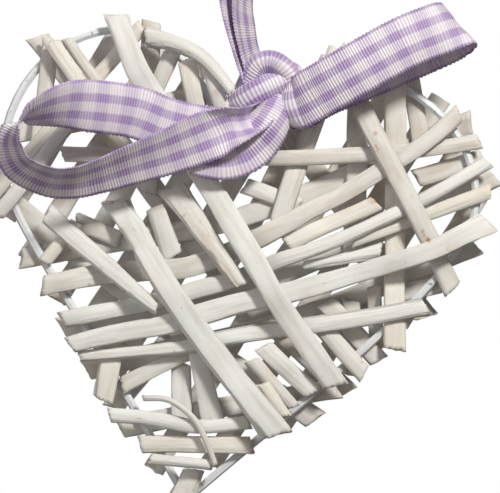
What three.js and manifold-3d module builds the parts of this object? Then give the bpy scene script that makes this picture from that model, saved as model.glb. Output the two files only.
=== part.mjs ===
// A hanging heart of white-washed split willow, in millimetres, +Z up and facing -Y.
// Splits are laid criss-cross over both faces of one heart-shaped steel wire. A gingham ribbon is tied in a
// bow round the wire at its cleft, and its tails rise into the loop that the heart hangs by.
// The origin is under the top of that loop, where a hook bears on it.

import * as THREE from "three";
import Module from "manifold-3d";
import { mergeVertices } from "three/addons/utils/BufferGeometryUtils.js";

const wasm = await Module();
wasm.setup();

// Driving dimensions
const heart = { width: 145, height: 144 };
const wire = { diameter: 2.6, steps: 96, sides: 7 };
const split = { thickness: 1.8, overhang: 6, unevenness: 1.6, endSlant: 0.35, bendRadius: 45, archRadius: 26, span: 9 };
const bark = { thickness: 1.2 };
const ribbon = { width: 16, thickness: 1.2, step: 5, standoff: 1 };
const hanger = { drop: 101, topRadius: 8, spread: 16 };
const knot = { halfHeight: 4.6, halfDepth: 5.4, sides: 12, rings: 8 };
const clearance = { crossing: 0.3, middle: 0.2, beside: 0.45, wireInKnot: 0.4 };

// The layout is drawn on a board of its own units, across from the wire's left side and down the page.
// It stretches with the heart, so every split follows the wire.
const board = { left: 0, right: 478, top: 27, cleft: 121, tip: 502, hook: 238 };
const acrossBoard = heart.width / (board.right - board.left);
const downBoard = heart.height / (board.tip - board.top);

function spot(across, down) {
  return new THREE.Vector2((across - board.hook) * acrossBoard, (board.cleft - down) * downBoard - hanger.drop);
}

// The wire's outline: six curves from the tip, up the left side, over both lobes and back.
// Each row has two handles and the curve's end.
const outlineCurves = [
  [[74, 300], [-1, 215], [0, 160]],
  [[0, 92], [50, 27], [122, 27]],
  [[165, 27], [208, 80], [217, 121]],
  [[232, 88], [280, 70], [335, 70]],
  [[410, 70], [478, 125], [478, 195]],
  [[490, 262], [322, 385], [186, 502]],
];

const outline = new THREE.Path();
outline.moveTo(...spot(186, board.tip));
for (const curve of outlineCurves) {
  outline.bezierCurveTo(...curve.flatMap((point) => [...spot(...point)]));
}
const wirePoints = outline.getSpacedPoints(wire.steps).slice(0, wire.steps);

// The front layer in the order of laying. Each split runs through its points on the board, on to the wire and
// past it by the overhang, unless that end is loose, at its own point. Widths are in millimetres, and where
// there are several they are spread evenly from the first point to the last.
const frontSplits = [
  { through: [[244, 186], [300, 206]], wide: 6.4, loose: "both" },
  { through: [[324, 90], [278, 225]], wide: 8.2, loose: "end" },
  { through: [[397, 95], [396, 351]], wide: 8.8, loose: "end" },
  { through: [[154, 206], [172, 258]], wide: 8.4, loose: "both" },
  { through: [[74, 222], [118, 240]], wide: 6.6, loose: "both" },
  { through: [[43, 264], [76, 222]], wide: 4.6, loose: "both" },
  { through: [[180, 364], [181, 424]], wide: 7.8, loose: "both" },
  { through: [[120, 387], [192, 352]], wide: 6.4, loose: "both" },
  { through: [[115, 335], [102, 402]], wide: [10, 7.6], loose: "both" },
  { through: [[195, 345], [214, 426]], wide: [6.4, 9], loose: "both" },
  { through: [[194, 471], [178, 508]], wide: [7, 9.4], loose: "both" },
  { through: [[139, 446], [252, 447]], wide: 6.2, loose: "both" },
  { through: [[149, 460], [213, 466]], wide: 3.4, loose: "both" },
  { through: [[46, 66], [34, 170]], wide: 6, loose: "end" },
  { through: [[28, 152], [142, 25]], wide: 5.4, loose: "end" },
  { through: [[34, 168], [98, 90]], wide: 5.4, loose: "end" },
  { through: [[140, 118], [172, 50]], wide: 6, loose: "both" },
  { through: [[187, 58], [203, 140]], wide: 7.2, loose: "both" },
  { through: [[210, 62], [223, 112]], wide: 6.6, loose: "both" },
  { through: [[66, 37], [89, 70], [150, 144]], wide: 3.8, loose: "both" },
  { through: [[50, 41], [74, 77], [112, 128]], wide: 5.6, loose: "both" },
  { through: [[144, 36], [177, 44], [204, 60], [232, 92]], wide: [6.4, 4.6, 3.6], loose: "both" },
  { through: [[62, 154], [255, 158], [370, 154], [420, 150], [464, 143]], wide: 5.6, loose: "start" },
  { through: [[286, 243], [378, 203]], wide: 6, loose: "both" },
  { through: [[303, 266], [345, 258], [382, 251]], wide: [2.4, 4.6], loose: "both" },
  {
    through: [[66, 281], [95, 276], [150, 271], [200, 265], [258, 238], [310, 210], [350, 189], [420, 146],
      [438, 132]],
    wide: [7.4, 7.6, 6.2, 6.2],
  },
  { through: [[352, 239], [466, 200]], wide: 5.2, loose: "start" },
  {
    through: [[84, 316], [150, 304], [200, 289], [240, 278], [276, 262], [336, 242], [402, 211], [470, 173]],
    wide: [6, 6.2, 4.8, 5],
  },
  { through: [[318, 322], [350, 358]], wide: 6.4, loose: "start" },
  { through: [[112, 353], [185, 346], [240, 336], [321, 325], [380, 316], [404, 312]], wide: [3.4, 5.8, 5.6] },
  { through: [[264, 346], [314, 395]], wide: 7.4, loose: "both" },
  { through: [[252, 360], [293, 409]], wide: 5, loose: "both" },
  { through: [[262, 384], [284, 418]], wide: 5, loose: "both" },
  { through: [[108, 415], [150, 419], [199, 427], [250, 423]], wide: 5, loose: "both" },
  { through: [[353, 86], [368, 120], [379, 142], [408, 197], [427, 231], [438, 254]], wide: 7.6 },
  {
    through: [[96, 339], [120, 333], [165, 325], [230, 306], [290, 293], [355, 274], [427, 252], [450, 242]],
    wide: [6.6, 8.6, 7.4, 8.4],
  },
  { through: [[45, 214], [70, 236], [112, 272], [157, 309]], wide: [6.4, 7, 3.6], loose: "both" },
  { through: [[170, 187], [205, 236], [241, 286]], wide: [9.4, 7, 3.6], loose: "both" },
  { through: [[114, 200], [183, 310], [227, 370], [277, 436]], wide: [10.2, 10.6, 11.4], loose: "both" },
  { through: [[122, 32], [142, 79], [212, 190], [271, 290], [336, 388]], wide: 9.8, loose: "end" },
];

// The strip of bark that curls down over the lower splits
const barkStrip = {
  through: [[142, 399], [165, 400], [183, 409], [197, 424], [206, 441], [216, 466]],
  wide: 2,
  loose: "both",
};

// The back layer, plainer and more open
const backSplits = [
  { through: [[417, 102], [424, 150]], wide: 7, loose: "end" },
  { through: [[326, 303], [364, 344]], wide: 8, loose: "start" },
  { through: [[351, 301], [353, 350]], wide: 7.6, loose: "start" },
  { through: [[400, 292], [418, 289]], wide: 7, loose: "start" },
  { through: [[418, 178], [462, 164]], wide: 7, loose: "start" },
  { through: [[376, 286], [378, 330]], wide: 5, loose: "start" },
  { through: [[20, 130], [190, 96]], wide: 9 },
  { through: [[150, 44], [147, 192]], wide: 7.6, loose: "end" },
  { through: [[360, 86], [356, 262]], wide: 9, loose: "end" },
  { through: [[60, 250], [250, 214], [450, 130]], wide: 9 },
  { through: [[90, 322], [280, 276], [466, 190]], wide: 9.4 },
  { through: [[118, 364], [300, 318], [438, 262]], wide: 9 },
  { through: [[150, 424], [210, 412], [270, 402]], wide: 8.4 },
  { through: [[22, 212], [120, 290], [280, 398]], wide: 9.6 },
  { through: [[92, 110], [200, 250], [316, 366]], wide: 10 },
  { through: [[284, 126], [340, 200], [412, 296]], wide: 9.4, loose: "start" },
  { through: [[126, 392], [236, 250], [312, 98]], wide: 9 },
];

const woodWhite = new THREE.MeshStandardMaterial({ color: 0xe3e3de, roughness: 0.72, metalness: 0 });
const barkWhite = new THREE.MeshStandardMaterial({ color: 0xd9d6cf, roughness: 0.8, metalness: 0 });
const wirePaint = new THREE.MeshStandardMaterial({ color: 0xc6ccd2, roughness: 0.45, metalness: 0 });
const gingham = new THREE.MeshStandardMaterial({ color: 0xb9a3cf, roughness: 0.7, metalness: 0 });

// A closed skin over rings of points that all have the same count. An open run of rings gets flat ends.
function skin(rings, closed = false) {
  const count = rings[0].length;
  const positions = rings.flat().flatMap((point) => [point.x, point.y, point.z]);
  const faces = [];
  const spans = closed ? rings.length : rings.length - 1;
  for (let i = 0; i < spans; i += 1) {
    const here = i * count;
    const next = ((i + 1) % rings.length) * count;
    for (let j = 0; j < count; j += 1) {
      const k = (j + 1) % count;
      faces.push(here + j, next + j, next + k, here + j, next + k, here + k);
    }
  }
  if (!closed) {
    const last = (rings.length - 1) * count;
    for (let j = 1; j < count - 1; j += 1) {
      faces.push(0, j, j + 1, last, last + j + 1, last + j);
    }
  }
  const geometry = new THREE.BufferGeometry();
  geometry.setAttribute("position", new THREE.Float32BufferAttribute(positions, 3));
  geometry.setIndex(signedVolume(positions, faces) < 0 ? faces.reverse() : faces);
  return geometry;
}

function signedVolume(positions, faces) {
  const corner = (index) => new THREE.Vector3().fromArray(positions, index * 3);
  let volume = 0;
  for (let i = 0; i < faces.length; i += 3) {
    volume += corner(faces[i]).dot(corner(faces[i + 1]).cross(corner(faces[i + 2]))) / 6;
  }
  return volume;
}

// How far each face of the heart already stands off its middle plane, cell by cell.
class Relief {
  constructor() {
    this.cell = 0.5;
    this.reach = 1.4 * Math.max(heart.width, heart.height) + 4 * split.overhang;
    this.count = Math.ceil(this.reach / this.cell);
    this.middle = spot(board.hook, (board.top + board.tip) / 2);
    this.heights = new Float32Array(this.count * this.count).fill(-1);
  }

  index(point) {
    const column = Math.floor((point.x - this.middle.x + this.reach / 2) / this.cell);
    const row = Math.floor((point.y - this.middle.y + this.reach / 2) / this.cell);
    const inside = column >= 0 && row >= 0 && column < this.count && row < this.count;
    return inside ? row * this.count + column : -1;
  }

  at(point) {
    const index = this.index(point);
    return index < 0 ? -1 : this.heights[index];
  }

  raise(point, height) {
    const index = this.index(point);
    if (index >= 0) this.heights[index] = Math.max(this.heights[index], height);
  }
}

// The run of a line at even steps, each with its place, heading and distance from the start.
function paced(points, step) {
  const lengths = [0];
  for (let i = 1; i < points.length; i += 1) lengths.push(lengths[i - 1] + points[i].distanceTo(points[i - 1]));
  const total = lengths.at(-1);
  const count = Math.max(2, Math.round(total / step));
  const places = [];
  let segment = 1;
  for (let i = 0; i <= count; i += 1) {
    const along = (total * i) / count;
    while (segment < points.length - 1 && lengths[segment] < along) segment += 1;
    const share = (along - lengths[segment - 1]) / (lengths[segment] - lengths[segment - 1]);
    places.push({ along, at: points[segment - 1].clone().lerp(points[segment], share) });
  }
  places.forEach((place, i) => {
    const before = places[Math.max(i - 1, 0)].at;
    const after = places[Math.min(i + 1, count)].at;
    place.heading = after.clone().sub(before).normalize();
  });
  return places;
}

// The way from a point inside the heart to its wire.
function distanceToWire(from, heading) {
  let nearest = Infinity;
  for (let i = 0; i < wirePoints.length; i += 1) {
    const a = wirePoints[i];
    const side = wirePoints[(i + 1) % wirePoints.length].clone().sub(a);
    const offset = a.clone().sub(from);
    const turn = heading.cross(side);
    const away = offset.cross(side) / turn;
    const share = offset.cross(heading) / turn;
    if (away > 0 && share >= 0 && share < 1) nearest = Math.min(nearest, away);
  }
  return Number.isFinite(nearest) ? nearest : 0;
}

// Splits are cut by hand, so each end stands out a little more or less than the next.
function unevenness(seed) {
  return split.unevenness * Math.sin(seed * 12.9898);
}

function splitLine(row, seed) {
  const points = row.through.map((point) => spot(...point));
  const line = points.length > 2 ? new THREE.SplineCurve(points).getSpacedPoints(60) : points;
  const reach = (from, next, turn) => {
    const heading = from.clone().sub(next).normalize();
    const beyond = distanceToWire(from, heading) + split.overhang + unevenness(turn);
    return from.clone().addScaledVector(heading, beyond);
  };
  if (!["start", "both"].includes(row.loose)) line.unshift(reach(line[0], line[1], seed));
  if (!["end", "both"].includes(row.loose)) line.push(reach(line.at(-1), line.at(-2), seed + 0.5));
  return line;
}

// A springy split laid over what is under it: it bears on the highest places, and sinks back between them and
// arches over them no tighter than its two radii.
function restingHeights(needs, floor) {
  const bow = (along) => along ** 2 / (2 * split.bendRadius);
  const bearing = needs.filter((need) => need.height >= 0)
    .map(({ along, height }) => ({ along, height: height - bow(along) }));
  if (bearing.length === 0) return () => floor;
  const hull = [];
  for (const need of bearing) {
    const over = (a, b, c) => (b.height - a.height) * (c.along - a.along) > (c.height - a.height) * (b.along - a.along);
    while (hull.length > 1 && !over(hull.at(-2), hull.at(-1), need)) hull.pop();
    hull.push(need);
  }
  const [first, last] = [hull[0], hull.at(-1)];
  const bearingAt = (along) => {
    const i = Math.max(1, hull.findIndex((point) => point.along >= along));
    const share = (along - hull[i - 1].along) / (hull[i].along - hull[i - 1].along);
    return THREE.MathUtils.lerp(hull[i - 1].height, hull[i].height, share) + bow(along);
  };
  const arches = needs.filter((need) => need.height >= 0)
    .map((need) => (along) => need.height - (along - need.along) ** 2 / (2 * split.archRadius));
  return (along) => {
    const held = THREE.MathUtils.clamp(along, first.along, last.along);
    const height = hull.length < 2 ? first.height + bow(held) : bearingAt(held);
    return Math.max(floor, height, ...arches.map((arch) => arch(along)));
  };
}

// The half-round section of a split willow rod: flat where it was split, crowned where the bark was.
const splitSection = [[-0.5, 0], [0.5, 0], [0.48, 0.5], [0.22, 1], [-0.22, 1], [-0.48, 0.5]];

function laySplit(row, seed, relief, side, thickness = split.thickness) {
  const line = splitLine(row, seed);
  const fine = paced(line, 1);
  const length = fine.at(-1).along;
  const widths = Array.isArray(row.wide) ? row.wide : [row.wide, row.wide];
  const widthAt = (along) => {
    const place = THREE.MathUtils.clamp(along / length, 0, 1) * (widths.length - 1);
    const i = Math.min(Math.floor(place), widths.length - 2);
    return THREE.MathUtils.lerp(widths[i], widths[i + 1], place - i);
  };
  const slant = split.endSlant * Math.sign(Math.sin(seed * 7.3)) * (0.5 + 0.5 * Math.abs(Math.sin(seed * 3.1)));

  // Every cell that the split covers, with the slanted ends
  const across = (place, offset) => {
    const end = place.along < length / 2 ? -1 : 1;
    const nearEnd = Math.max(0, 1 - Math.min(place.along, length - place.along) / widths[0]);
    const slip = slant * offset * nearEnd + end * Math.abs(slant) * Math.abs(offset) * nearEnd;
    const normal = new THREE.Vector2(-place.heading.y, place.heading.x);
    return place.at.clone().addScaledVector(normal, offset).addScaledVector(place.heading, slip);
  };
  const footprint = (place) => {
    const half = widthAt(place.along) / 2 + clearance.beside;
    const cells = [];
    for (let offset = -half; offset <= half; offset += relief.cell * 0.8) cells.push(across(place, offset));
    cells.push(across(place, half));
    return cells;
  };
  const found = fine.map((place) => Math.max(...footprint(place).map((cell) => relief.at(cell))));
  const needs = fine.map((place, i) => {
    const highest = Math.max(found[Math.max(i - 1, 0)], found[i], found[Math.min(i + 1, found.length - 1)]);
    return { along: place.along, height: highest < 0 ? -1 : highest + clearance.crossing };
  });
  const heightAt = restingHeights(needs, clearance.middle);

  // Even stations, lifted until the straight runs between them clear everything beneath
  const spans = Math.max(1, Math.ceil(length / split.span));
  const stations = Array.from({ length: spans + 1 }, (_, i) => (length * i) / spans);
  const heights = stations.map(heightAt);
  const undersideAt = (along) => {
    const i = THREE.MathUtils.clamp(Math.ceil((along / length) * spans), 1, spans);
    return THREE.MathUtils.lerp(heights[i - 1], heights[i], (along - stations[i - 1]) / (length / spans));
  };
  for (let i = 1; i <= spans; i += 1) {
    const within = needs.filter((need) => need.along >= stations[i - 1] && need.along <= stations[i]);
    const lift = Math.max(0, ...within.map((need) => need.height - undersideAt(need.along)));
    heights[i - 1] += lift;
    heights[i] += lift;
  }

  const placeAt = (along) => fine[Math.min(fine.length - 1, Math.round((along / length) * (fine.length - 1)))];
  const rings = stations.map((along, i) => {
    const place = placeAt(along);
    const normal = new THREE.Vector2(-place.heading.y, place.heading.x);
    const atEnd = i === 0 || i === stations.length - 1;
    return splitSection.map(([offset, rise]) => {
      const sideways = offset * widthAt(along);
      const flat = place.at.clone().addScaledVector(normal, sideways);
      if (atEnd) flat.addScaledVector(place.heading, slant * sideways);
      return new THREE.Vector3(flat.x, side * (heights[i] + rise * thickness), flat.y);
    });
  });
  for (const place of paced(line, 0.6)) {
    for (const cell of footprint(place)) relief.raise(cell, undersideAt(place.along) + thickness);
  }
  return skin(rings);
}

function wireRing(radius) {
  const rings = wirePoints.map((point, i) => {
    const before = wirePoints.at(i - 1);
    const after = wirePoints[(i + 1) % wirePoints.length];
    const heading = after.clone().sub(before).normalize();
    const sideways = new THREE.Vector3(-heading.y, 0, heading.x);
    return Array.from({ length: wire.sides }, (_, j) => {
      const turn = (2 * Math.PI * j) / wire.sides;
      return new THREE.Vector3(point.x, radius * Math.sin(turn), point.y)
        .addScaledVector(sideways, radius * Math.cos(turn));
    });
  });
  return skin(rings, true);
}

function raiseWire(relief) {
  const half = wire.diameter / 2 + clearance.beside;
  for (const place of paced([...wirePoints, wirePoints[0]], 0.5)) {
    const normal = new THREE.Vector2(-place.heading.y, place.heading.x);
    for (let offset = -half; offset <= half; offset += relief.cell * 0.8) {
      relief.raise(place.at.clone().addScaledVector(normal, offset), wire.diameter / 2);
    }
  }
}

// Ribbon runs. A station is its place on the board, its depth in front of the wire in millimetres, the way
// its width points across the picture in degrees clockwise from up, how far that tips to the front, and how
// much of the width is left where it is gathered.
const rightBow = [
  [282, 106, 5, -12, 0, 0.6],
  [290, 105, 8, -8, 0, 0.8],
  [299, 103, 12, -10, 0, 1],
  [314, 94, 15, -22, 0, 1],
  [353, 72, 19, -27, 0, 1],
  [400, 46, 20, -26, 0, 1],
  [434, 33, 19, -32, 0, 1],
  [449, 29, 16, -42, 0, 1],
  [454, 35, 13, -44, 6, 1],
  [446, 40, 10, -38, 10, 1],
  [418, 50, 9, -30, 12, 1],
  [351, 78, 8.5, -27, 8, 1],
  [322, 91, 8, -27, 4, 1],
  [300, 106, 7, -24, 0, 0.9],
  [284, 114, 5, -24, 0, 0.7],
];
const leftBow = [
  [279, 103, 5, -56, 0, 0.6],
  [268, 122, 7.5, -43, 0, 0.8],
  [250, 132, 9.5, -19, 0, 1],
  [225, 137, 10, 0, 0, 1],
  [198, 133, 11, 14, 0, 1],
  [166, 124, 13, 18, 0, 1],
  [136, 113, 17, 17, 3, 1],
  [95, 108, 22.5, 3, 12, 1],
  [68, 107, 26, 3, 35, 1],
  [37, 114, 30, 7, 66, 1],
  [26, 121, 31, 56, 79, 1],
  [18, 131, 31.5, 77, 62, 1],
  [15, 148, 31, 85, 56, 1],
  [25, 170, 29, 57, 53, 1],
  [52, 183, 26.5, 27, 56, 1],
  [76, 184, 25, 5, 56, 1],
  [100, 178, 23.5, -8, 53, 1],
  [133, 166, 22, -14, 45, 1],
  [167, 154, 20, -20, 35, 1],
  [201, 140, 17.5, -26, 20, 1],
  [218, 131, 14.5, -26, 8, 1],
];
const underFold = [
  [196, 149, 12.5, -176, 0, 1],
  [212, 153, 12, -178, 0, 1],
  [226, 154, 11.5, -184, 0, 1],
  [242, 149, 10.5, -204, 0, 1],
  [257, 137, 9.5, -223, 0, 1],
  [270, 121, 8, -235, 0, 1],
  [280, 103, 6, -241, 0, 0.8],
];
const junction = [
  [266, 92, 5.4, 90, 0, 0.5],
  [280, 96, 6.4, 84, 20, 0.5],
  [279, 110, 7.5, 78, 0, 0.5],
  [270, 122, 5, 60, 0, 0.5],
];

// The tails above the knot: place on the board, depth, how far the width tips to the front, and gathering.
const tails = {
  left: [[256, 88, 0, 50, 0.4], [242, 66, 2, 56, 0.55], [237, 46, 3, 62, 0.75], [231, 22, 3, 70, 0.9],
    [226, 0, 2, 76, 1]],
  right: [[262, 84, 0, 50, 0.4], [253, 62, 2, 56, 0.55], [247, 44, 3, 60, 0.75], [244, 20, 3, 66, 0.9],
    [243, 0, 2, 70, 1]],
};

function frontOf(place, halfWidth, relief) {
  let highest = 0;
  for (let dx = -halfWidth; dx <= halfWidth; dx += 1) {
    for (let dz = -halfWidth; dz <= halfWidth; dz += 1) {
      highest = Math.max(highest, relief.at(new THREE.Vector2(place.x + dx, place.y + dz)));
    }
  }
  return highest;
}

function ribbonBand(stations, relief) {
  const clearOf = (place, lean) => {
    const dip = (ribbon.width / 2) * Math.abs(Math.sin(THREE.MathUtils.degToRad(lean)));
    return frontOf(place, ribbon.width / 2, relief) + dip + ribbon.thickness / 2 + ribbon.standoff;
  };
  const centres = stations.map(([across, down, depth, turn, lean]) => {
    const place = spot(across, down);
    return new THREE.Vector3(place.x, -Math.max(depth, clearOf(place, lean)), place.y);
  });
  return bandAlong(centres, stations);
}

function bandAlong(centres, stations) {
  const curve = new THREE.CatmullRomCurve3(centres, false, "centripetal");
  const count = Math.ceil(curve.getLength() / ribbon.step);
  const rings = [];
  for (let i = 0; i <= count; i += 1) {
    const along = curve.getUtoTmapping(i / count) * (stations.length - 1);
    const station = Math.min(Math.floor(along), stations.length - 2);
    const mix = (field) => THREE.MathUtils.lerp(stations[station][field], stations[station + 1][field],
      along - station);
    const turn = THREE.MathUtils.degToRad(mix(3));
    const lean = THREE.MathUtils.degToRad(mix(4));
    const width = ribbon.width * mix(5);
    const tangent = curve.getTangentAt(i / count);
    const wide = new THREE.Vector3(
      Math.cos(lean) * Math.sin(turn), -Math.sin(lean), Math.cos(lean) * Math.cos(turn));
    wide.addScaledVector(tangent, -wide.dot(tangent)).normalize();
    const thick = tangent.clone().cross(wide);
    const corner = (w, t) => curve.getPointAt(i / count)
      .addScaledVector(wide, w * width).addScaledVector(thick, t * ribbon.thickness);
    rings.push([corner(-0.5, -0.5), corner(0.5, -0.5), corner(0.5, 0.5), corner(-0.5, 0.5)]);
  }
  return skin(rings);
}

// The two tails rise from the knot side by side and part into a slim loop over the hook.
function hangingLoop() {
  const half = hanger.spread / 2;
  const rise = ([across, down, depth, lean, gather]) => {
    const place = spot(across, down);
    return { centre: new THREE.Vector3(place.x, -depth, place.y), facing: [0, 0, 0, 90, lean, gather] };
  };
  const above = (x, z) => ({ centre: new THREE.Vector3(x, 0, z), facing: [0, 0, 0, 90, 80, 1] });
  const run = [
    ...tails.left.map(rise),
    above(-half, -hanger.topRadius - 24),
    above(-half, -hanger.topRadius - 3),
    above(0, ribbon.thickness / 2),
    above(half, -hanger.topRadius - 3),
    above(half * 0.85, -hanger.topRadius - 24),
    ...tails.right.map(rise).reverse(),
  ];
  return bandAlong(run.map((stop) => stop.centre), run.map((stop) => stop.facing));
}

// The gathered knot round the wire
function knotLump() {
  const start = spot(241, 100);
  const end = spot(292, 74);
  const run = end.clone().sub(start);
  const normal = new THREE.Vector2(-run.y, run.x).normalize();
  const rings = Array.from({ length: knot.rings }, (_, i) => {
    const share = i / (knot.rings - 1);
    const swell = Math.sqrt(Math.max(0.1, 1 - (2 * share - 1) ** 2 * 0.9));
    const centre = start.clone().addScaledVector(run, share);
    return Array.from({ length: knot.sides }, (_, j) => {
      const turn = (2 * Math.PI * j) / knot.sides;
      const flat = centre.clone().addScaledVector(normal, swell * knot.halfHeight * Math.cos(turn));
      return new THREE.Vector3(flat.x, swell * knot.halfDepth * Math.sin(turn), flat.y);
    });
  });
  return skin(rings);
}

function toManifold(geometry) {
  const merged = mergeVertices(geometry);
  return new wasm.Manifold(new wasm.Mesh({
    numProp: 3,
    vertProperties: new Float32Array(merged.attributes.position.array),
    triVerts: new Uint32Array(merged.index.array),
  }));
}

function fromManifold(solid) {
  const mesh = solid.getMesh();
  const geometry = new THREE.BufferGeometry();
  geometry.setAttribute("position", new THREE.Float32BufferAttribute(mesh.vertProperties, 3));
  geometry.setIndex([...mesh.triVerts]);
  return geometry;
}

function bowAndLoop(relief) {
  const pieces = [rightBow, leftBow, underFold, junction].map((run) => ribbonBand(run, relief));
  pieces.push(hangingLoop(), knotLump());
  const whole = pieces.map(toManifold).reduce((joined, piece) => joined.add(piece));
  const round = whole.subtract(toManifold(wireRing(wire.diameter / 2 + clearance.wireInKnot)));
  // The outermost skin, without any hollow shut in between the folds
  const skins = round.decompose().sort((a, b) => b.volume() - a.volume());
  return fromManifold(skins[0].simplify(0.03));
}

const model = new THREE.Group();

function addPiece(name, geometry, material) {
  const mesh = new THREE.Mesh(geometry, material);
  mesh.name = name;
  model.add(mesh);
}

const front = new Relief();
const back = new Relief();
raiseWire(front);
raiseWire(back);

addPiece("heart_wire", wireRing(wire.diameter / 2), wirePaint);
const numbered = (stem, i) => `${stem}_${String(i + 1).padStart(2, "0")}`;
frontSplits.forEach((row, i) => {
  addPiece(numbered("front_split", i), laySplit(row, i + 1, front, -1), woodWhite);
});
addPiece("bark_strip", laySplit(barkStrip, 60, front, -1, bark.thickness), barkWhite);
backSplits.forEach((row, i) => {
  addPiece(numbered("back_split", i), laySplit(row, i + 80, back, 1), woodWhite);
});
addPiece("gingham_ribbon", bowAndLoop(front), gingham);

export default model;
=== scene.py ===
# A hanging heart of white-washed willow splits on a wire, with a gingham ribbon bow and hanging loop.
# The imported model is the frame: every piece keeps the place that its solid has there.

import bmesh
import bpy
import math
import random
import numpy as np
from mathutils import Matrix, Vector, noise
from mathutils.bvhtree import BVHTree


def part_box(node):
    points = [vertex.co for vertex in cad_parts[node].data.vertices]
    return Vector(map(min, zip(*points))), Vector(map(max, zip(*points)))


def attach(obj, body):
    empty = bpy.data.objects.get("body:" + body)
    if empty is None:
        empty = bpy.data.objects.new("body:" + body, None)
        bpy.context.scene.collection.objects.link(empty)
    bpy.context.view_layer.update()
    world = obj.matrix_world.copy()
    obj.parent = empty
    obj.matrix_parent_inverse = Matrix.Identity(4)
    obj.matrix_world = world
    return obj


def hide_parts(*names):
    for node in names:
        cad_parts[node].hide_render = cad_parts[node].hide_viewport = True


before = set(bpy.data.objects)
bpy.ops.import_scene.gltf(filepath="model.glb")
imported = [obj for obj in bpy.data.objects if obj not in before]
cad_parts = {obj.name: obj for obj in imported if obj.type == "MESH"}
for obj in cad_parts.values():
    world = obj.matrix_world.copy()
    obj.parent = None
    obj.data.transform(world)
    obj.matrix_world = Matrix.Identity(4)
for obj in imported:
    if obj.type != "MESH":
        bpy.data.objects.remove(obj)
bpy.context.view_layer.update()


# Camera
# The photograph looks straight at the heart's face with a long lens. The layout's board has one unit to each
# pixel of the photograph's 500 by 493, and the wire's box gives its size in the frame.
wire_low, wire_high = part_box("heart_wire")
wire_radius = (wire_high.y - wire_low.y) / 2
board_left, board_right = 0, 478
board_top, board_tip = 27, 502
picture_wide, picture_high = 500, 493
hook_across = 238
unit_across = (wire_high.x - wire_low.x - 2 * wire_radius) / (board_right - board_left)
unit_down = (wire_high.z - wire_low.z - 2 * wire_radius) / (board_tip - board_top)


def on_board(across, down, depth=0.0):
    """The place in the frame of a point on the board, with its depth in front of the wire in millimetres."""
    return Vector(((across - hook_across) * unit_across,
                   -depth / 1000,
                   wire_high.z - wire_radius - (down - board_top) * unit_down))


camera_distance = 0.9
sharpest_depth = 0.008
sensor_width = 36
camera_data = bpy.data.cameras.new("camera")
camera_data.sensor_width = sensor_width
camera_data.lens = sensor_width * camera_distance / (picture_wide * unit_across)
camera = bpy.data.objects.new("camera", camera_data)
bpy.context.collection.objects.link(camera)
camera.location = on_board(picture_wide / 2, picture_high / 2)
camera.location.y -= camera_distance + sharpest_depth
camera.rotation_euler = (math.pi / 2, 0, 0)
bpy.context.scene.camera = camera


# Heart wire
# One length of 2.6 mm steel wire bent to the heart and painted a cool white by dipping. The paint is smooth
# and a little glossy, with a few small chips where the splits have rubbed it.
def linear(hex_colour):
    """An sRGB hex colour as linear red, green, blue and alpha."""
    channels = [int(hex_colour[i:i + 2], 16) / 255 for i in (1, 3, 5)]
    return [c / 12.92 if c <= 0.04045 else ((c + 0.055) / 1.055) ** 2.4 for c in channels] + [1.0]


def add(tree, kind, inputs=None, **settings):
    """A new node with its settings, its input values and the links into it."""
    node = tree.nodes.new(kind)
    for name, value in settings.items():
        setattr(node, name, value)
    for socket, value in (inputs or {}).items():
        if isinstance(value, bpy.types.NodeSocket):
            tree.links.new(value, node.inputs[socket])
        else:
            node.inputs[socket].default_value = value
    return node


def new_material(name):
    """An empty node material and its tree."""
    material = bpy.data.materials.new(name)
    material.use_nodes = True
    material.node_tree.nodes.clear()
    return material, material.node_tree


def painted_wire():
    """Dipped enamel paint: cool white and satin, with darker chips."""
    material, tree = new_material("dipped_enamel_on_steel_wire")
    place = add(tree, "ShaderNodeTexCoord").outputs["Object"]
    mottle = add(tree, "ShaderNodeTexNoise", {"Vector": place, "Scale": 160, "Detail": 3}).outputs["Fac"]
    chips = add(tree, "ShaderNodeTexNoise", {"Vector": place, "Scale": 420, "Detail": 2}).outputs["Fac"]
    chipped = add(tree, "ShaderNodeMapRange",
                  {"Value": chips, "From Min": 0.68, "From Max": 0.74}).outputs["Result"]
    paint = add(tree, "ShaderNodeMix", {0: mottle, 6: linear("#C9D0D8"), 7: linear("#E4E7EA")},
                data_type="RGBA").outputs[2]
    colour = add(tree, "ShaderNodeMix", {0: chipped, 6: paint, 7: linear("#8C8F93")},
                 data_type="RGBA").outputs[2]
    bump = add(tree, "ShaderNodeBump", {"Height": mottle, "Strength": 0.25, "Distance": 0.0004})
    shader = add(tree, "ShaderNodeBsdfPrincipled",
                 {"Base Color": colour, "Roughness": 0.38, "Normal": bump.outputs["Normal"]})
    add(tree, "ShaderNodeOutputMaterial", {"Surface": shader.outputs["BSDF"]})
    return material


heart_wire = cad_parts["heart_wire"]
heart_wire.data.materials.clear()
heart_wire.data.materials.append(painted_wire())
for face in heart_wire.data.polygons:
    face.use_smooth = True


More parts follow.
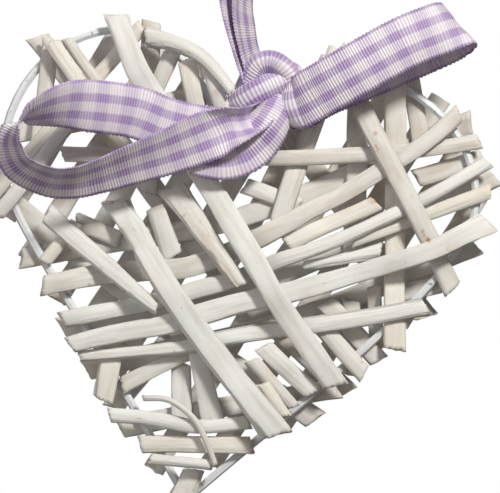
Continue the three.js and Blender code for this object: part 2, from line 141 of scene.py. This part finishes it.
# Willow splits
# Willow rods 6 to 10 mm across, split down the middle and soaked, laid criss-cross over the wire on both
# sides and stapled. They were then dipped in thin chalky paint that leaves the grain, scars and cut ends.
# Each scar below has its place on the board, its size there and how much of its paint is gone.
scars = [
    (375, 133, 4, 0.9), (377, 147, 3.5, 0.8), (385, 147, 3, 0.7), (371, 201, 6, 0.6), (378, 197, 4, 0.5),
    (428, 240, 4, 1.0), (447, 245, 3, 0.8), (405, 262, 4, 0.6), (345, 260, 5, 0.5), (425, 287, 4, 0.9),
    (205, 66, 7, 0.4), (216, 92, 9, 0.6), (185, 208, 3, 0.7), (200, 222, 3, 0.7), (208, 235, 3, 0.7),
    (224, 248, 3, 0.7), (300, 375, 5, 0.4), (352, 232, 4, 0.4), (330, 178, 4, 0.4), (228, 378, 2.5, 0.8),
    (262, 395, 5, 0.4), (470, 205, 4, 0.5), (95, 335, 4, 0.4), (109, 415, 4, 0.3), (186, 490, 6, 0.5),
]
grain_cuts = 6
round_steps = 96
round_reach = 6
same_place = 0.00001
end_fray = 0.0005
fray_reach = 0.004
worn_reach = 0.0012
wobble_height = 0.0006
knot_spacing = 0.09
split_thickness = 0.0018
bark_thickness = 0.0012
random.seed(7)


def section_round(angles, radii):
    """The split's own section as a radius at even angles, as it is and with its corners softened."""
    even = np.linspace(-math.pi, math.pi, round_steps, endpoint=False)
    order = np.argsort(angles)
    known = np.concatenate([angles[order] - 2 * math.pi, angles[order], angles[order] + 2 * math.pi])
    values = np.tile(radii[order], 3)
    radius = np.interp(even, known, values)
    shifts = range(-round_reach, round_reach + 1)
    soft = sum(np.roll(radius, shift) for shift in shifts) / len(shifts)
    return even, radius, soft


def split_frames(points):
    """The middles and half widths of the split's rings in order, with six corners to a ring."""
    middle = points.mean(axis=0)
    axis = np.linalg.svd(points - middle, full_matrices=False)[2][0]
    order = np.argsort((points - middle) @ axis)
    rings = points[order].reshape(-1, 6, 3)
    spread = np.linalg.norm(rings[:, :, None] - rings[:, None], axis=3)
    return rings.mean(axis=1), spread.max(axis=(1, 2)) / 2


def crowned(height, across):
    """A height on the solid's three-sided crown, moved to a half ellipse. Across is 0 in the middle and 1 at
    the edge."""
    straight = np.interp(across, [0.44, 0.96, 1.0], [1.0, 0.5, 0.05])
    return height * np.sqrt(np.clip(1 - across ** 2, 0.003, 1)) / straight


def past_ends(along, length):
    """How far a distance along lies before the start or past the stop, and 0 between them."""
    return np.where(along < 0, along, np.where(along > length, along - length, 0))[:, None]


def weathered_split(node, number):
    """A copy of the split's solid, cut fine and worked into grain, knots and cut ends."""
    bpy.ops.object.select_all(action="DESELECT")
    name = node.name.replace("split", "willow").replace("bark_strip", "bark_curl")
    piece = bpy.data.objects.new(name, node.data.copy())
    bpy.context.collection.objects.link(piece)
    bpy.context.view_layer.objects.active = piece
    piece.select_set(True)
    bpy.ops.object.mode_set(mode="EDIT")
    bpy.ops.mesh.select_all(action="SELECT")
    bpy.ops.mesh.remove_doubles(threshold=same_place)
    bpy.ops.object.mode_set(mode="OBJECT")
    corners = np.array([v.co for v in piece.data.vertices])
    middles, half_widths = split_frames(corners)
    bpy.ops.object.mode_set(mode="EDIT")
    bpy.ops.mesh.subdivide(number_cuts=grain_cuts)
    bpy.ops.object.mode_set(mode="OBJECT")

    # Each point's way along the split and its place in the section
    points = np.array([v.co for v in piece.data.vertices])
    steps = np.linalg.norm(np.diff(middles, axis=0), axis=1)
    reach = np.concatenate([[0], np.cumsum(steps)])
    length = reach[-1]
    best = np.full(len(points), np.inf)
    along = np.zeros(len(points))
    for i, step in enumerate(steps):
        heading = (middles[i + 1] - middles[i]) / step
        share = (points - middles[i]) @ heading
        low = -1 if i == 0 else 0
        high = 2 * step if i == len(steps) - 1 else step
        held = np.clip(share, low, high)
        away = np.linalg.norm(points - middles[i] - held[:, None] * heading, axis=1)
        nearer = away < best
        best[nearer] = away[nearer]
        along[nearer] = reach[i] + held[nearer]
    centre, heading = smooth_run(middles, reach, along)
    outward = np.sign(middles[:, 1].mean())
    across = np.cross(heading, [0, 1, 0])
    across /= np.linalg.norm(across, axis=1)[:, None]
    up = np.cross(across, heading) * outward
    up *= np.sign(up[:, 1].mean()) * outward
    flat_centre = np.stack([np.interp(along, reach, middles[:, k]) for k in range(3)], axis=1)
    flat_centre += heading * past_ends(along, length)
    offset = points - flat_centre
    sideways = (offset * across).sum(axis=1)
    rise = (offset * up).sum(axis=1)

    # The rounder section, then fibres, dents and knots pressed into it
    half_thick = bark_thickness / 2 if "bark" in node.name else split_thickness / 2
    edge = np.clip(np.abs(sideways) / np.interp(along, reach, half_widths), 0, 1)
    rise = crowned(rise + half_thick, edge) - half_thick
    angle = np.arctan2(rise, sideways)
    radius = np.hypot(rise, sideways)
    on_skin = radius > 1e-6
    near_middle = on_skin & (np.abs(along - length / 2) < length * 0.45)
    even, section, soft = section_round(angle[near_middle], radius[near_middle])
    softened = np.interp(angle, even, soft / np.maximum(section, 1e-6), period=2 * math.pi)
    seed = number * 17.3
    pressed = np.zeros(len(points))
    bare = np.zeros(len(points))
    ragged = np.zeros(len(points))
    for k, (s, a) in enumerate(zip(along, angle)):
        turn = Vector((math.cos(a), math.sin(a), 0))
        coarse = noise.noise(Vector((turn.x * 1.6 + seed, turn.y * 1.6, s * 55)))
        fibre = noise.noise(Vector((turn.x * 5 + seed, turn.y * 5, s * 90 + seed)))
        fine = noise.noise(Vector((turn.x * 13 + seed, turn.y * 13, s * 160)))
        pressed[k] = 0.14 * coarse + 0.06 * fibre + 0.04 * fine
        ragged[k] = noise.noise(Vector((turn.x * 2.5 + seed, turn.y * 2.5, seed)))
        ragged[k] += 0.7 * noise.noise(Vector((turn.x * 8, turn.y * 8 + seed, seed)))
    for place, strength, size in knots_of(length):
        spread = np.exp(-((along - place) / size) ** 2)
        pressed += strength * spread * np.exp(-((angle - math.pi / 2) / 0.9) ** 2)
        bare += 2.6 * abs(strength) * spread * (angle > 0)
    radius = radius * softened * (1 + pressed)
    to_end = np.minimum(along, length - along)
    end = np.where(along < length / 2, -1.0, 1.0)
    fray = np.clip(1 - to_end / fray_reach, 0, 1)
    along_shift = end * fray * end_fray * (ragged - 0.35)
    bare += np.clip(1.1 - to_end / worn_reach, 0, 1) * 0.45
    wobble = np.array([noise.noise(Vector((seed, s * 28, 3.7))) for s in along]) * wobble_height
    moved = (centre + across * (np.cos(angle) * radius + wobble)[:, None]
             + up * (np.sin(angle) * radius)[:, None] + heading * along_shift[:, None])
    if outward < 0:
        for across_at, down_at, size, strength in scars:
            spot = on_board(across_at, down_at)
            away = np.hypot(moved[:, 0] - spot.x, moved[:, 2] - spot.z) / (size * unit_across)
            bare += strength * np.exp(-away ** 2)
    for vertex, place in zip(piece.data.vertices, moved):
        vertex.co = place
    around = angle * np.maximum(radius, 0.001) * 1000
    grain = np.stack([along * 1000 + seed, around, np.full(len(along), seed)], axis=1)
    attribute = piece.data.attributes.new("grain", "FLOAT_VECTOR", "POINT")
    attribute.data.foreach_set("vector", grain.astype(np.float32).ravel())
    worn = piece.data.attributes.new("bare", "FLOAT", "POINT")
    worn.data.foreach_set("value", np.clip(bare, 0, 1).astype(np.float32))
    for face in piece.data.polygons:
        face.use_smooth = True
    bpy.ops.object.shade_smooth_by_angle(angle=math.radians(50))
    return piece


def smooth_run(middles, reach, along):
    """The smooth curve through these middles, and its heading, at each distance along it."""
    spans = len(middles) - 1
    held = np.clip(along, 0, reach[-1])
    index = np.clip(np.searchsorted(reach, held, side="right") - 1, 0, spans - 1)
    share = ((held - reach[index]) / (reach[index + 1] - reach[index]))[:, None]
    before = middles[np.maximum(index - 1, 0)]
    after = middles[np.minimum(index + 2, spans)]
    start, stop = middles[index], middles[index + 1]
    before = np.where((index == 0)[:, None], 2 * start - stop, before)
    after = np.where((index == spans - 1)[:, None], 2 * stop - start, after)
    square = 2 * before - 5 * start + 4 * stop - after
    cube = 3 * start - before - 3 * stop + after
    place = 0.5 * (2 * start + (stop - before) * share + square * share ** 2 + cube * share ** 3)
    heading = 0.5 * ((stop - before) + 2 * square * share + 3 * cube * share ** 2)
    heading /= np.linalg.norm(heading, axis=1)[:, None]
    return place + heading * past_ends(along, reach[-1]), heading


def knots_of(length):
    """Bud scars, about one to every knot spacing: where each is along the split, how far it swells or sinks,
    and its size."""
    rows = []
    for _ in range(int(length / knot_spacing + random.uniform(0, 1))):
        rows.append((random.uniform(0.1, 0.9) * length, random.choice([0.12, 0.09, -0.1]),
                     random.uniform(0.001, 0.002)))
    return rows


def whitewashed_willow(name, paint, thin, core):
    """Chalky paint on split willow: matt, with fibres showing where it is thin, and tan wood where it is worn
    off or torn."""
    material, tree = new_material(name)
    grain = add(tree, "ShaderNodeAttribute", attribute_name="grain").outputs["Vector"]
    worn = add(tree, "ShaderNodeAttribute", attribute_name="bare").outputs["Fac"]
    # Fibres about 0.5 mm wide and 12 mm long, and finer ones drawn 0.25 mm wide so that they show
    long_way = add(tree, "ShaderNodeMapping", {"Vector": grain, "Scale": (0.08, 2.0, 1)}).outputs["Vector"]
    fibre = add(tree, "ShaderNodeTexNoise", {"Vector": long_way, "Scale": 1, "Detail": 4}).outputs["Fac"]
    fine_way = add(tree, "ShaderNodeMapping", {"Vector": grain, "Scale": (0.3, 4.2, 1)}).outputs["Vector"]
    fine = add(tree, "ShaderNodeTexNoise", {"Vector": fine_way, "Scale": 1, "Detail": 3}).outputs["Fac"]
    wash_way = add(tree, "ShaderNodeMapping", {"Vector": grain, "Scale": (0.07, 0.22, 1)}).outputs["Vector"]
    wash = add(tree, "ShaderNodeTexNoise", {"Vector": wash_way, "Scale": 1, "Detail": 2}).outputs["Fac"]
    thin_places = add(tree, "ShaderNodeMapRange",
                      {"Value": wash, "From Min": 0.42, "From Max": 0.68}).outputs["Result"]
    painted = add(tree, "ShaderNodeMix", {0: thin_places, 6: linear(paint), 7: linear(thin)},
                  data_type="RGBA").outputs[2]
    furrow = add(tree, "ShaderNodeMapRange",
                 {"Value": fibre, "From Min": 0.58, "From Max": 0.76, "To Max": 0.22}).outputs["Result"]
    lined = add(tree, "ShaderNodeMix", {0: furrow, 6: painted, 7: linear("#A3988C")},
                data_type="RGBA").outputs[2]
    # Nicks about 1 mm across and 3 mm long, where the paint has missed or chipped
    nick_way = add(tree, "ShaderNodeMapping", {"Vector": grain, "Scale": (0.3, 0.8, 1)}).outputs["Vector"]
    nick = add(tree, "ShaderNodeTexNoise", {"Vector": nick_way, "Scale": 1, "Detail": 5}).outputs["Fac"]
    nicked = add(tree, "ShaderNodeMapRange",
                 {"Value": nick, "From Min": 0.67, "From Max": 0.72, "To Max": 0.45}).outputs["Result"]
    lined = add(tree, "ShaderNodeMix", {0: nicked, 6: lined, 7: linear(core)}, data_type="RGBA").outputs[2]
    torn = add(tree, "ShaderNodeMath", {0: worn, 1: fine}, operation="MULTIPLY").outputs["Value"]
    torn = add(tree, "ShaderNodeMapRange",
               {"Value": torn, "From Min": 0.2, "From Max": 0.5}).outputs["Result"]
    colour = add(tree, "ShaderNodeMix", {0: torn, 6: lined, 7: linear(core)}, data_type="RGBA").outputs[2]
    relief = add(tree, "ShaderNodeMath", {0: fibre, 1: fine}, operation="ADD").outputs["Value"]
    bump = add(tree, "ShaderNodeBump", {"Height": relief, "Strength": 0.3, "Distance": 0.0003})
    shader = add(tree, "ShaderNodeBsdfPrincipled",
                 {"Base Color": colour, "Roughness": 0.72, "Specular IOR Level": 0.35,
                  "Normal": bump.outputs["Normal"]})
    add(tree, "ShaderNodeOutputMaterial", {"Surface": shader.outputs["BSDF"]})
    return material


chalky = whitewashed_willow("whitewashed_willow_chalky", "#DCDDDC", "#D3D1CD", "#B98A62")
creamy = whitewashed_willow("whitewashed_willow_creamy", "#DDDBD5", "#D6D0C5", "#B5845A")
thin_wash_and_shade = whitewashed_willow("whitewashed_willow_thin", "#D5D4D1", "#C7C0B8", "#A87A54")
# Four of the front splits have the whitest paint.
whitest = ["front_split_30", "front_split_36", "front_split_39", "front_split_40"]
split_names = sorted(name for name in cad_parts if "split" in name or name == "bark_strip")
for number, name in enumerate(split_names):
    willow = weathered_split(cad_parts[name], number)
    willow.data.materials.clear()
    if name in whitest:
        willow.data.materials.append(chalky)
    elif "front" in name:
        willow.data.materials.append([chalky, creamy, thin_wash_and_shade][number * 5 % 3])
    # The splits that are not on the front take the thin wash, the darkest of the three paints, partly as
    # painted shade for the layers behind.
    else:
        willow.data.materials.append(thin_wash_and_shade)
    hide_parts(name)
    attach(willow, "root")


# Inner splits
# The photograph shows more splits through the gaps than there are solids. They lie side by side over the back
# layer, and run steeply up to the right, from the wire to the wire. Each row has a split's two ends and its
# width in millimetres.
inner_splits = [
    ((10, 206), (116, 32), 8.6), ((30, 250), (162, 44), 9.2), ((60, 290), (194, 72), 8.4),
    ((80, 336), (221, 116), 9.4), ((112, 374), (274, 112), 8.8), ((158, 464), (396, 80), 9.0),
    ((216, 458), (438, 106), 9.4), ((288, 418), (464, 146), 8.6), ((408, 314), (478, 200), 9.0),
]
split_section = [(-0.5, 0), (0.5, 0), (0.48, 0.5), (0.22, 1), (-0.22, 1), (-0.48, 0.5)]
ring_spacing = 0.009
split_overhang = 0.004
layer_gap = 0.0002
well_outside = 0.1


def stacked_pieces(names):
    """The points and faces of these solids together, as the frame has them."""
    points, faces = [], []
    for name in names:
        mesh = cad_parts[name].data
        base = len(points)
        points += [vertex.co.copy() for vertex in mesh.vertices]
        faces += [[base + i for i in face.vertices] for face in mesh.polygons]
    return points, faces


layers = BVHTree.FromPolygons(*stacked_pieces(split_names + ["heart_wire"]))


def farthest(place, half, outward):
    """How far the layers stand out from the wire's plane, to the front or the back, around a place."""
    highest = 0.0
    for dx in (-half, -half / 2, 0, half / 2, half):
        for dz in (-half, -half / 2, 0, half / 2, half):
            start = Vector((place.x + dx, well_outside * outward, place.z + dz))
            hit = layers.ray_cast(start, Vector((0, -outward, 0)))[0]
            if hit is not None:
                highest = max(highest, hit.y * outward)
    return highest


def laid_behind(name, start, stop, width):
    """A straight split laid on the back of the heart, in the same plain form as the solids of the rest."""
    start, stop = on_board(*start), on_board(*stop)
    heading = (stop - start).normalized()
    start, stop = start - heading * split_overhang, stop + heading * split_overhang
    side = Vector((heading.z, 0, -heading.x)) * width / 1000
    spans = round((stop - start).length / ring_spacing)
    places = [start.lerp(stop, i / spans) for i in range(spans + 1)]
    underside = max(farthest(place, width / 2000, 1) for place in places) + layer_gap
    points = [place + side * across + Vector((0, underside + rise * split_thickness, 0))
              for place in places for across, rise in split_section]
    corners = len(split_section)
    faces = [tuple(range(corners)), tuple(range(spans * corners, (spans + 1) * corners))]
    for i in range(spans):
        for j in range(corners):
            k = (j + 1) % corners
            faces.append((i * corners + j, i * corners + k, (i + 1) * corners + k, (i + 1) * corners + j))
    mesh = bpy.data.meshes.new(name)
    mesh.from_pydata(points, [], faces)
    solid = bmesh.new()
    solid.from_mesh(mesh)
    bmesh.ops.recalc_face_normals(solid, faces=solid.faces)
    solid.to_mesh(mesh)
    solid.free()
    return bpy.data.objects.new(name, mesh)


for number, (start, stop, width) in enumerate(inner_splits, 1):
    plain = laid_behind(f"inner_split_{number:02d}", start, stop, width)
    willow = weathered_split(plain, number + 100)
    willow.data.materials.clear()
    # The inner splits take the darkest paint too, partly as painted shade for where they lie behind the rest.
    willow.data.materials.append(thin_wash_and_shade)
    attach(willow, "root")


# Gingham ribbon
# One length of 16 mm gingham ribbon in lilac and white, woven with a rib every 0.84 mm. It is tied in a bow
# round the wire at the cleft, and its tails rise together into the loop that the heart hangs from.
ribbon_width = 0.016
ribbon_thickness = 0.0004
ribbon_clearance = 0.0012
across_steps = 12
along_step = 0.0004
least_roll = 0.5
crease_height = 0.0013
picot_height = 0.0002
picot_spacing = 0.0012
# The weave's own sizes are in millimetres, across and along the ribbon.
row_spacing = 5.6
first_row = 5.2
stripe_spacing = 8.4
rib_spacing = 0.84
# Each run's stations are its place on the board, its depth in front of the wire in millimetres, the way its
# width points clockwise from up, how far that tips to the front, and how much of the width shows. Where less
# shows, the ribbon is rolled lengthwise.
right_bow = [
    (282, 106, 5, -12, 0, 0.6), (290, 105, 8, -8, 0, 0.8), (299, 103, 12, -10, 0, 1),
    (314, 94, 15, -22, 0, 1), (353, 72, 19, -27, 0, 1), (400, 46, 20, -26, 0, 1),
    (434, 32, 19.5, -31, 0, 1), (449, 27, 17, -40, 0, 1), (455, 29, 14, -45, 4, 1),
    (450, 36, 11, -42, 10, 1), (424, 48, 9, -31, 12, 1), (351, 79, 8.5, -27, 8, 1),
    (322, 91, 8, -27, 4, 1), (300, 106, 7, -24, 0, 0.9), (284, 114, 5, -24, 0, 0.6),
]
left_bow = [
    (279, 105, 5, -56, 0, 0.45), (267, 120, 4, -43, 0, 0.62), (250, 130, 4, -19, 0, 0.85),
    (225, 132, 8, 0, 0, 0.92), (198, 131, 10, 14, 0, 1), (166, 124, 13, 18, 0, 1),
    (136, 113, 17, 17, 3, 1), (95, 108, 22.5, 3, 12, 1), (68, 107, 26, 3, 35, 1),
    (37, 114, 30, 7, 66, 1), (26, 121, 31, 56, 79, 1), (18, 131, 31.5, 77, 62, 1),
    (15, 148, 31, 85, 56, 1), (25, 170, 29, 57, 53, 1), (52, 183, 26.5, 27, 56, 1),
    (76, 184, 25, 5, 56, 1), (100, 178, 23.5, -8, 53, 1), (133, 166, 22, -14, 45, 1),
    (167, 154, 20, -20, 35, 1), (196, 142, 18.5, -23, 22, 1), (214, 135, 18.5, -27, 12, 0.95),
    (230, 129, 20, -30, 4, 0.78), (245, 124, 19.5, -30, 0, 0.6), (259, 117, 16.5, -36, 0, 0.48),
    (271, 107, 10, -46, 0, 0.4),
]
under_fold = [
    (196, 149, 12.5, -176, 0, 1), (212, 153, 12.2, -178, 0, 1), (226, 154, 12, -184, 0, 1),
    (242, 149, 11.5, -204, 0, 1), (257, 137, 10.5, -223, 0, 0.96), (270, 121, 9, -235, 0, 0.8),
    (280, 103, 6, -241, 0, 0.6),
]
junction = [
    (266, 92, 5.4, 90, 0, 0.5), (278, 96, 7, 84, 20, 0.5), (279, 108, 7.5, 78, 0, 0.5),
    (270, 122, 5, 60, 0, 0.5),
]
knot_wrap = [
    (242, 102, 0, -27, 0, 0.5), (247, 98, 3.8, -27, 0, 0.46), (256, 92, 6, -27, 0, 0.46),
    (270, 85, 6.4, -27, 0, 0.46), (283, 79, 5.6, -27, 0, 0.46), (291, 75, 3, -27, 0, 0.5),
]
knot_fold = [
    (247, 88, 2, -70, 0, 0.4), (254, 73, 4.5, -58, 0, 0.34), (262, 63, 6, -25, 0, 0.3),
    (273, 62, 6.5, 8, 0, 0.3), (284, 70, 6.5, 28, 0, 0.32), (291, 84, 5, 52, 0, 0.4),
    (290, 96, 3, 75, 0, 0.45),
]
hanging_tails = [
    (256, 88, 0, 90, -62, 1), (246, 68, 2, 90, -72, 1), (238, 46, 3, 90, -74, 1),
    (231, 22, 3, 90, -74, 1), (226, 0, 2, 90, -76, 1), (222, -24, 1.5, 90, -77, 1),
    (218, -58, 1, 90, -78, 1), (214, -96, 0.5, 90, -79, 1), (211.6, -134, 0, 90, -80, 1),
    (210, -170, 0, 90, -80, 1), (214, -198, 0, 90, -80, 1), (238, -213.5, 0, 90, -80, 1),
    (262, -198, 0, 90, -80, 1), (264, -170, 0, 90, -80, 1), (260.4, -134, 0, 90, -80, 1),
    (256, -96, 0.5, 90, -77, 1), (251, -58, 1, 90, -74, 1), (246, -24, 1.5, 90, -71, 1),
    (243, 0, 2, 90, -68, 1), (244, 20, 3, 90, -66, 1), (248, 44, 3, 90, -68, 1),
    (254, 64, 2, 90, -66, 1), (262, 84, 0, 90, -60, 1),
]


def resting_on(stations):
    """The stations' places in the frame, brought forward where the splits are in the way."""
    places = []
    for across, down, depth, _, lean, _ in stations:
        place = on_board(across, down, depth)
        dip = ribbon_width / 2 * abs(math.sin(math.radians(lean)))
        place.y = min(place.y, -farthest(place, ribbon_width / 2, -1) - dip - ribbon_clearance)
        places.append(place)
    return places


def roll_angle(shown):
    """The arc that a ribbon is rolled through so that its chord is this share of its width."""
    angle = np.linspace(0.02, 5.6, 200)
    chord = np.sin(angle / 2) / (angle / 2)
    return np.maximum(np.interp(-np.asarray(shown), -chord, angle), least_roll)


def ribbon_strip(stations, cloth, places=None, bulge=1):
    """Adds one run of ribbon to the cloth's lists, as a strip that bends smoothly through its stations. Bulge
    is 1 or -1, for the side that it is rolled to."""
    places = np.array(places or [on_board(a, d, depth) for a, d, depth, *_ in stations])
    facing = np.array([row[3:] for row in stations], dtype=float)
    reach = np.concatenate([[0], np.cumsum(np.linalg.norm(np.diff(places, axis=0), axis=1))])
    count = int(reach[-1] / along_step)
    along = np.linspace(0, reach[-1], count)
    centre, heading = smooth_run(places, reach, along)
    turn, lean, shown = (np.interp(along, reach, facing[:, k]) for k in range(3))
    turn, lean = np.radians(turn), np.radians(lean)
    wide = np.stack([np.cos(lean) * np.sin(turn), -np.sin(lean), np.cos(lean) * np.cos(turn)], axis=1)
    wide -= (wide * heading).sum(axis=1)[:, None] * heading
    wide /= np.linalg.norm(wide, axis=1)[:, None]
    out = np.cross(wide, heading) * bulge
    arc = roll_angle(shown)
    base = len(cloth["points"])
    start = cloth["length"]
    for i in range(count):
        radius = ribbon_width / arc[i]
        picot = picot_height * math.sin(2 * math.pi * (start + along[i]) / picot_spacing)
        for j in range(across_steps + 1):
            share = j / across_steps - 0.5
            place = centre[i] + wide[i] * radius * math.sin(share * arc[i])
            place += out[i] * radius * (math.cos(share * arc[i]) - math.cos(arc[i] / 2))
            crease = noise.noise(Vector((share * 3 + base, (start + along[i]) * 60, 4.2)))
            place += out[i] * crease * crease_height * (1.2 - shown[i])
            if j in (0, across_steps):
                place += wide[i] * picot * math.copysign(1, share)
            cloth["points"].append(place)
            cloth["weave"].append(((share + 0.5) * ribbon_width * 1000, (start + along[i]) * 1000, 0))
    for i in range(count - 1):
        for j in range(across_steps):
            a = base + i * (across_steps + 1) + j
            cloth["faces"].append((a, a + 1, a + across_steps + 2, a + across_steps + 1))
    cloth["length"] += reach[-1]


def gingham_weave():
    """Woven polyester gingham, ribbed and softly shining, with lilac rows and stripes on white, painted shade
    in the rib valleys and a painted highlight on the rib crests.
    """
    material, tree = new_material("woven_gingham_ribbon")
    weave = add(tree, "ShaderNodeAttribute", attribute_name="weave").outputs["Vector"]
    parts = add(tree, "ShaderNodeSeparateXYZ", {"Vector": weave})

    def wave(way, period, shift=0.0):
        turn = add(tree, "ShaderNodeMath", {0: parts.outputs[way], 1: 2 * math.pi / period},
                   operation="MULTIPLY").outputs["Value"]
        moved = add(tree, "ShaderNodeMath", {0: turn, 1: shift}, operation="ADD").outputs["Value"]
        return add(tree, "ShaderNodeMath", {0: moved}, operation="SINE").outputs["Value"]

    def ramp(value, low, high, top=1.0):
        return add(tree, "ShaderNodeMapRange",
                   {"Value": value, "From Min": low, "From Max": high, "To Max": top}).outputs["Result"]

    def blend(share, first, second):
        return add(tree, "ShaderNodeMix", {0: share, 6: first, 7: linear(second)},
                   data_type="RGBA").outputs[2]

    # Two rows that each lie a third of the way in from an edge, lilac edges, and stripes across them
    first_turn = math.pi / 2 - 2 * math.pi * first_row / row_spacing
    row = ramp(wave("X", row_spacing, first_turn), -0.15, 0.45)
    stripe = ramp(wave("Y", stripe_spacing), -0.45, 0.45)
    crossing = add(tree, "ShaderNodeMath", {0: row, 1: stripe}, operation="MULTIPLY").outputs["Value"]
    ground = blend(stripe, linear("#DFD8E1"), "#CCC2D7")
    rows = blend(row, ground, "#B8A7CA")
    colour = blend(crossing, rows, "#A086BB")
    rib = wave("Y", rib_spacing)
    # Painted shade darkens the valleys between the ribs, and a painted highlight lightens their crests.
    painted_valley_shade = ramp(rib, 0.1, 0.85, 0.17)
    colour = blend(painted_valley_shade, colour, "#6F5A94")
    painted_crest_glint = ramp(rib, -0.5, -1.0, 0.22)
    colour = blend(painted_crest_glint, colour, "#FBF9FC")
    bump = add(tree, "ShaderNodeBump", {"Height": rib, "Strength": 0.5, "Distance": 0.0002}, invert=True)
    shader = add(tree, "ShaderNodeBsdfPrincipled",
                 {"Base Color": colour, "Roughness": 0.5, "Sheen Weight": 0.25,
                  "Normal": bump.outputs["Normal"]})
    add(tree, "ShaderNodeOutputMaterial", {"Surface": shader.outputs["BSDF"]})
    return material


cloth = {"points": [], "faces": [], "weave": [], "length": 0.0}
ribbon_strip(right_bow, cloth, resting_on(right_bow), bulge=-1)
for run in (left_bow, under_fold, junction):
    ribbon_strip(run, cloth, resting_on(run))
ribbon_strip(knot_wrap, cloth, bulge=-1)
ribbon_strip(knot_fold, cloth, bulge=-1)
ribbon_strip(hanging_tails, cloth)
ribbon_mesh = bpy.data.meshes.new("gingham_ribbon_cloth")
ribbon_mesh.from_pydata([tuple(p) for p in cloth["points"]], [], cloth["faces"])
weave = ribbon_mesh.attributes.new("weave", "FLOAT_VECTOR", "POINT")
weave.data.foreach_set("vector", np.array(cloth["weave"], dtype=np.float32).ravel())
ribbon = bpy.data.objects.new("gingham_ribbon_cloth", ribbon_mesh)
bpy.context.collection.objects.link(ribbon)
for face in ribbon_mesh.polygons:
    face.use_smooth = True
bpy.ops.object.select_all(action="DESELECT")
bpy.context.view_layer.objects.active = ribbon
ribbon.select_set(True)
thicken = ribbon.modifiers.new("thickness", "SOLIDIFY")
thicken.thickness = ribbon_thickness
thicken.offset = 0
bpy.ops.object.modifier_apply(modifier="thickness")
ribbon_mesh.materials.append(gingham_weave())
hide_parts("gingham_ribbon")
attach(ribbon, "root")


# Light
# A small key from the upper right, beside the camera, throws the dark contact shadows to the lower left. The
# studio is white only straight behind the heart. Elsewhere it is dim, and dark brown to the rear, so that the
# gaps between the splits keep their depth.
heart_middle = on_board(240, 250)
for name, place, size, watts, tint in [
        ("key_light", (0.42, -0.8, 0.62), 0.16, 12, "#FFFCF4"),
        ("fill_light", (-0.8, -0.8, 0.1), 0.9, 3.6, "#F5F2EF"),
        ("back_light", (-0.3, 0.8, 0.6), 0.5, 4, "#FFFFFF")]:
    light_data = bpy.data.lights.new(name, "AREA")
    light_data.energy = watts
    light_data.size = size
    light_data.color = linear(tint)[:3]
    light = bpy.data.objects.new(name, light_data)
    bpy.context.collection.objects.link(light)
    light.location = heart_middle + Vector(place)
    light.rotation_euler = (-Vector(place)).to_track_quat("-Z", "Y").to_euler()
world = bpy.data.worlds.new("studio")
world.use_nodes = True
studio = world.node_tree
way = add(studio, "ShaderNodeTexCoord").outputs["Generated"]
behind = add(studio, "ShaderNodeSeparateXYZ", {"Vector": way}).outputs["Y"]
rear = add(studio, "ShaderNodeMapRange",
           {"Value": behind, "From Min": -0.2, "From Max": 0.2}).outputs["Result"]
straight = add(studio, "ShaderNodeMapRange",
               {"Value": behind, "From Min": 0.93, "From Max": 0.98}).outputs["Result"]
dim = add(studio, "ShaderNodeMix", {0: rear, 6: linear("#7F7A75"), 7: linear("#57493D")},
          data_type="RGBA").outputs[2]
glow = add(studio, "ShaderNodeMix", {0: straight, 6: dim, 7: linear("#FFFFFF")},
           data_type="RGBA").outputs[2]
studio.links.new(glow, studio.nodes["Background"].inputs["Color"])
bpy.context.scene.world = world
bpy.context.scene.view_settings.view_transform = "Standard"
